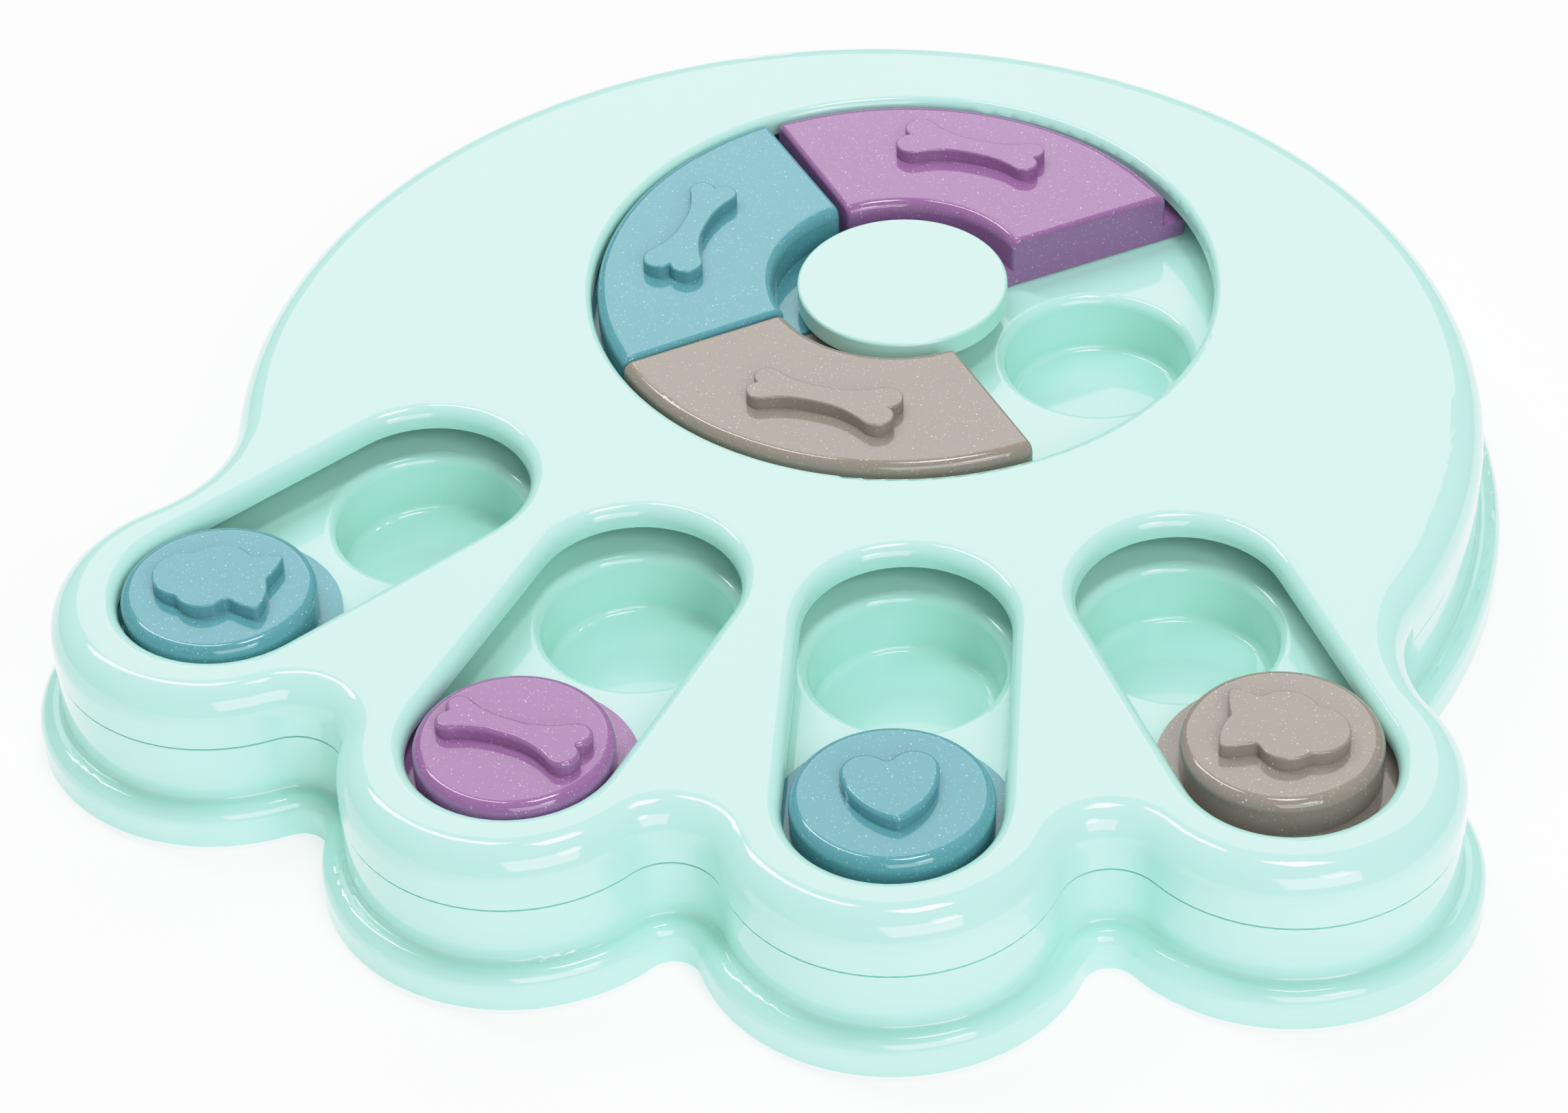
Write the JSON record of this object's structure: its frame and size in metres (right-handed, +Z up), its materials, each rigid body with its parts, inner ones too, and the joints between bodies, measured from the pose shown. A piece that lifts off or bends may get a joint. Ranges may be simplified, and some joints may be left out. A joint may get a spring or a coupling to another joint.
{
  "type": "dog puzzle feeder toy",
  "caption": "Paw-shaped treat puzzle: two-part mint shell with treat wells, ring sliders turning round a hub, and round toe sliders in slots.",
  "frame": {"origin": "middle of the footprint on the ground, under the foot pads", "axes": "+Z up, toes towards -Y, palm towards +Y, +X to the right seen from the toes"},
  "size_m": [0.2672, 0.2676, 0.0346],
  "materials": {
    "mint_plastic": "smooth glossy moulded plastic",
    "blue_plastic": "glossy plastic with fine pale specks",
    "purple_plastic": "glossy plastic with fine pale specks",
    "taupe_plastic": "glossy plastic with fine pale specks",
    "screw_steel": "zinc-plated steel",
    "pad_rubber": "matte silicone"
  },
  "bodies": {
    "housing": {"tray": "mint_plastic", "cover": "mint_plastic", "hub_cap": "mint_plastic", "hub_screw": "screw_steel", "cover_screw_1": "screw_steel", "cover_screw_2": "screw_steel", "cover_screw_3": "screw_steel", "cover_screw_4": "screw_steel", "cover_screw_5": "screw_steel", "cover_screw_6": "screw_steel", "cover_screw_7": "screw_steel", "cover_screw_8": "screw_steel", "cover_screw_9": "screw_steel", "foot_pad_1": "pad_rubber", "foot_pad_2": "pad_rubber", "foot_pad_3": "pad_rubber", "foot_pad_4": "pad_rubber", "foot_pad_5": "pad_rubber", "foot_pad_6": "pad_rubber", "foot_pad_7": "pad_rubber", "foot_pad_8": "pad_rubber"},
    "ring_blue": {"ring_slider_blue": "blue_plastic"},
    "ring_purple": {"ring_slider_purple": "purple_plastic"},
    "ring_taupe": {"ring_slider_taupe": "taupe_plastic"},
    "toe_1": {"toe_slider_1": "blue_plastic"},
    "toe_2": {"toe_slider_2": "purple_plastic"},
    "toe_3": {"toe_slider_3": "blue_plastic"},
    "toe_4": {"toe_slider_4": "taupe_plastic"}
  },
  "joints": [
    {"name": "ring_turn", "type": "hinge", "parent": "housing", "child": "ring_blue", "pos_m": [0, 0.04655, 0], "axis": [0, 0, 1], "continuous": true},
    {"name": "ring_purple_turn", "type": "hinge", "parent": "ring_blue", "child": "ring_purple", "pos_m": [0, 0.04655, 0], "axis": [0, 0, 1], "range_deg": [-90.3, 1.5]},
    {"name": "ring_taupe_turn", "type": "hinge", "parent": "ring_blue", "child": "ring_taupe", "pos_m": [0, 0.04655, 0], "axis": [0, 0, 1], "range_deg": [0, 90.3]},
    {"name": "toe_1_slide", "type": "slide", "parent": "housing", "child": "toe_1", "axis": [0.565, 0.8251, 0], "range_m": [-0.0001, 0.0482]},
    {"name": "toe_2_slide", "type": "slide", "parent": "housing", "child": "toe_2", "axis": [0.1908, 0.9816, 0], "range_m": [-0.0001, 0.0482]},
    {"name": "toe_3_slide", "type": "slide", "parent": "housing", "child": "toe_3", "axis": [-0.1908, 0.9816, 0], "range_m": [-0.0016, 0.0467]},
    {"name": "toe_4_slide", "type": "slide", "parent": "housing", "child": "toe_4", "axis": [-0.565, 0.8251, 0], "range_m": [-0.0047, 0.043]}
  ]
}
